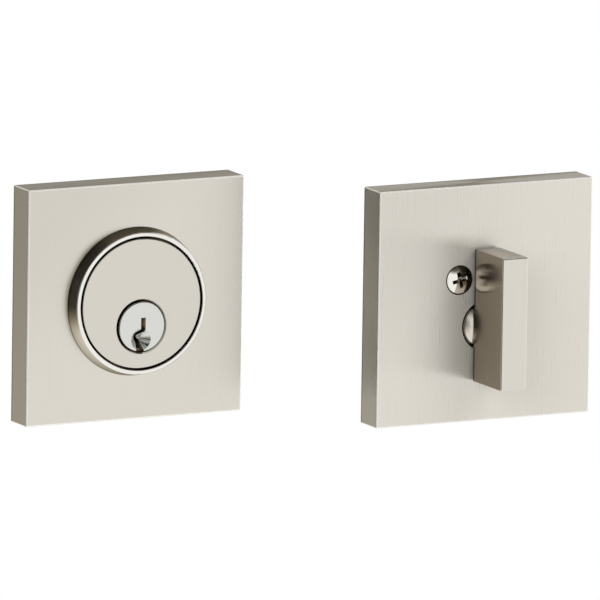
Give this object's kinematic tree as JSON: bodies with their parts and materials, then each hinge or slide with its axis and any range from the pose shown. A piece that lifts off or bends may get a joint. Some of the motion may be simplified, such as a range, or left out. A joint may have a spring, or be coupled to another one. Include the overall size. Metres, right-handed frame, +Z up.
{
  "type": "deadbolt door lock",
  "caption": "Square deadbolt trim set: exterior key cylinder in a raised guard collar with tailpiece and tapped posts, and interior plate with thumbturn and through screws.",
  "frame": {"origin": "centre of the exterior trim's door face", "axes": "+Y into the door from the exterior trim, +Z up, +X towards the interior trim, which stands beside it with the same heading"},
  "size_m": [0.1559, 0.1144, 0.0666],
  "materials": {
    "satin_nickel": "satin nickel plate with fine upright brushing",
    "bright_nickel": "bright nickel plate",
    "polished_nickel": "polished nickel plate",
    "brass": "machined brass",
    "zinc_steel": "zinc-plated steel",
    "spring_steel": "plain spring steel",
    "nylon": "natural nylon"
  },
  "bodies": {
    "trims": {"exterior_rosette": "satin_nickel", "cylinder_collar": "satin_nickel", "cylinder_body": "satin_nickel", "driver_pins": "brass", "pin_springs": "spring_steel", "chamber_cover": "brass", "exterior_backing_plate": "zinc_steel", "mounting_posts": "zinc_steel", "cylinder_screws": "zinc_steel", "interior_rosette": "satin_nickel", "turn_bushing": "nylon", "spring_washer": "spring_steel", "interior_backing_plate": "zinc_steel", "plate_screws": "zinc_steel", "mounting_screws": "polished_nickel"},
    "plug": {"key_plug": "bright_nickel", "key_pins": "brass", "plug_cap": "brass"},
    "tail": {"tailpiece": "zinc_steel"},
    "turn": {"thumbturn": "satin_nickel", "retaining_clip": "spring_steel"}
  },
  "joints": [
    {"name": "key_turn", "type": "hinge", "parent": "trims", "child": "plug", "pos_m": [0, 0, -0.0065], "axis": [0, 1, 0], "range_deg": [-90, 90]},
    {"name": "tail_turn", "type": "hinge", "parent": "plug", "child": "tail", "pos_m": [0, 0, -0.0065], "axis": [0, 1, 0], "range_deg": [-90, 90]},
    {"name": "thumb_turn", "type": "hinge", "parent": "trims", "child": "turn", "pos_m": [0.0892, -0.0389, -0.0065], "axis": [0, 1, 0], "range_deg": [-90, 90]}
  ]
}
